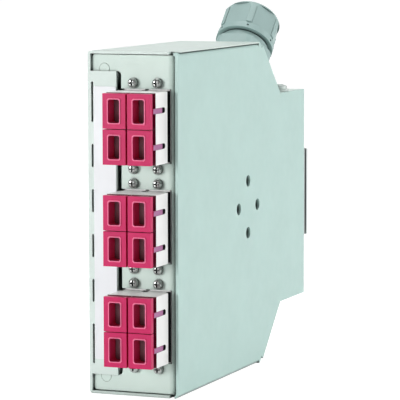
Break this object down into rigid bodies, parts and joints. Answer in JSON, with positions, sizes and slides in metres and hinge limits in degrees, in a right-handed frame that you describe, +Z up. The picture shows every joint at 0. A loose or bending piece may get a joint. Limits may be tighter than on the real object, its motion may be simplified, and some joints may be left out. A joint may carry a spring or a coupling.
{
  "type": "fibre splice box",
  "caption": "Slim sheet steel fibre splice box for a 35 mm rail, with duplex adapters on the front, sprung port shutters, a cable gland on the sloped corner and a rail latch.",
  "frame": {"origin": "centre of the base on its underside, midway between the front edge and the sloped corner", "axes": "+X to the right seen from the front, +Y from the front panel to the rail, +Z up"},
  "size_m": [0.035, 0.1594, 0.1401],
  "materials": {
    "shell_paint": "satin",
    "cover_paint": "satin",
    "panel_paint": "satin",
    "label_film": "satin",
    "adapter_white": "gloss",
    "frame_crimson": "satin",
    "shutter_metal": "satin",
    "ceramic": "gloss",
    "nickel_screws": "polished",
    "zinc_screws": "satin",
    "black_rubber": "matt",
    "seal_rubber": "matt",
    "gland_plastic": "satin",
    "clip_steel": "satin",
    "spring_steel": "satin",
    "tray_plastic": "matt",
    "holder_plastic": "matt",
    "clear_lid": "clear"
  },
  "bodies": {
    "housing": {"housing_shell": "shell_paint", "side_cover": "cover_paint", "cover_screws": "zinc_screws", "front_panel": "panel_paint", "panel_studs": "panel_paint", "panel_nuts": "zinc_screws", "label_strip": "label_film", "adapter_screws": "nickel_screws", "adapter_nuts": "nickel_screws", "adapter_body_1": "adapter_white", "adapter_body_2": "adapter_white", "adapter_body_3": "adapter_white", "adapter_body_4": "adapter_white", "adapter_body_5": "adapter_white", "adapter_body_6": "adapter_white", "alignment_sleeves": "ceramic", "coding_frame_1": "frame_crimson", "coding_frame_2": "frame_crimson", "coding_frame_3": "frame_crimson", "coding_frame_4": "frame_crimson", "coding_frame_5": "frame_crimson", "coding_frame_6": "frame_crimson", "coding_frame_7": "frame_crimson", "coding_frame_8": "frame_crimson", "coding_frame_9": "frame_crimson", "coding_frame_10": "frame_crimson", "coding_frame_11": "frame_crimson", "coding_frame_12": "frame_crimson", "gland_washer": "black_rubber", "gland_body": "gland_plastic", "gland_seal": "seal_rubber", "gland_locknut": "gland_plastic", "earth_screw": "zinc_screws", "earth_washer": "zinc_screws", "earth_nut": "zinc_screws", "rail_clip": "clip_steel", "clip_screws": "zinc_screws", "clip_nuts": "zinc_screws", "latch_spring": "spring_steel", "splice_tray": "tray_plastic", "splice_holder": "holder_plastic", "tray_lid": "clear_lid", "tray_screws": "zinc_screws"},
    "shutter_1": {"port_shutter_1": "shutter_metal"},
    "shutter_2": {"port_shutter_2": "shutter_metal"},
    "shutter_3": {"port_shutter_3": "shutter_metal"},
    "shutter_4": {"port_shutter_4": "shutter_metal"},
    "shutter_5": {"port_shutter_5": "shutter_metal"},
    "shutter_6": {"port_shutter_6": "shutter_metal"},
    "shutter_7": {"port_shutter_7": "shutter_metal"},
    "shutter_8": {"port_shutter_8": "shutter_metal"},
    "shutter_9": {"port_shutter_9": "shutter_metal"},
    "shutter_10": {"port_shutter_10": "shutter_metal"},
    "shutter_11": {"port_shutter_11": "shutter_metal"},
    "shutter_12": {"port_shutter_12": "shutter_metal"},
    "gland_nut": {"gland_cap": "gland_plastic"},
    "rail_latch_slide": {"rail_latch": "clip_steel"}
  },
  "joints": [
    {"name": "shutter_1_hinge", "type": "hinge", "parent": "housing", "child": "shutter_1", "pos_m": [0.00255, -0.0535, 0.1046], "axis": [0, 0, -1], "range_deg": [0, 80], "stiffness_Nm_per_rad": 0.00002, "springref_deg": -28.65},
    {"name": "shutter_2_hinge", "type": "hinge", "parent": "housing", "child": "shutter_2", "pos_m": [0.00255, -0.0535, 0.0918], "axis": [0, 0, -1], "range_deg": [0, 80], "stiffness_Nm_per_rad": 0.00002, "springref_deg": -28.65},
    {"name": "shutter_3_hinge", "type": "hinge", "parent": "housing", "child": "shutter_3", "pos_m": [0.01205, -0.0535, 0.1046], "axis": [0, 0, -1], "range_deg": [0, 80], "stiffness_Nm_per_rad": 0.00002, "springref_deg": -28.65},
    {"name": "shutter_4_hinge", "type": "hinge", "parent": "housing", "child": "shutter_4", "pos_m": [0.01205, -0.0535, 0.0918], "axis": [0, 0, -1], "range_deg": [0, 80], "stiffness_Nm_per_rad": 0.00002, "springref_deg": -28.65},
    {"name": "shutter_5_hinge", "type": "hinge", "parent": "housing", "child": "shutter_5", "pos_m": [0.00255, -0.0535, 0.0684], "axis": [0, 0, -1], "range_deg": [0, 80], "stiffness_Nm_per_rad": 0.00002, "springref_deg": -28.65},
    {"name": "shutter_6_hinge", "type": "hinge", "parent": "housing", "child": "shutter_6", "pos_m": [0.00255, -0.0535, 0.0556], "axis": [0, 0, -1], "range_deg": [0, 80], "stiffness_Nm_per_rad": 0.00002, "springref_deg": -28.65},
    {"name": "shutter_7_hinge", "type": "hinge", "parent": "housing", "child": "shutter_7", "pos_m": [0.01205, -0.0535, 0.0684], "axis": [0, 0, -1], "range_deg": [0, 80], "stiffness_Nm_per_rad": 0.00002, "springref_deg": -28.65},
    {"name": "shutter_8_hinge", "type": "hinge", "parent": "housing", "child": "shutter_8", "pos_m": [0.01205, -0.0535, 0.0556], "axis": [0, 0, -1], "range_deg": [0, 80], "stiffness_Nm_per_rad": 0.00002, "springref_deg": -28.65},
    {"name": "shutter_9_hinge", "type": "hinge", "parent": "housing", "child": "shutter_9", "pos_m": [0.00255, -0.0535, 0.0322], "axis": [0, 0, -1], "range_deg": [0, 80], "stiffness_Nm_per_rad": 0.00002, "springref_deg": -28.65},
    {"name": "shutter_10_hinge", "type": "hinge", "parent": "housing", "child": "shutter_10", "pos_m": [0.00255, -0.0535, 0.0194], "axis": [0, 0, -1], "range_deg": [0, 80], "stiffness_Nm_per_rad": 0.00002, "springref_deg": -28.65},
    {"name": "shutter_11_hinge", "type": "hinge", "parent": "housing", "child": "shutter_11", "pos_m": [0.01205, -0.0535, 0.0322], "axis": [0, 0, -1], "range_deg": [0, 80], "stiffness_Nm_per_rad": 0.00002, "springref_deg": -28.65},
    {"name": "shutter_12_hinge", "type": "hinge", "parent": "housing", "child": "shutter_12", "pos_m": [0.01205, -0.0535, 0.0194], "axis": [0, 0, -1], "range_deg": [0, 80], "stiffness_Nm_per_rad": 0.00002, "springref_deg": -28.65},
    {"name": "gland_nut_turn", "type": "hinge", "parent": "housing", "child": "gland_nut", "pos_m": [0.003, 0.0535, 0.1145], "axis": [0, 0.7071, 0.7071], "continuous": true},
    {"name": "rail_latch_pull", "type": "slide", "parent": "housing", "child": "rail_latch_slide", "axis": [0, 0, -1], "range_m": [0, 0.004], "stiffness_N_per_m": 400, "springref_m": -0.004, "deforming": ["latch_spring"]}
  ]
}
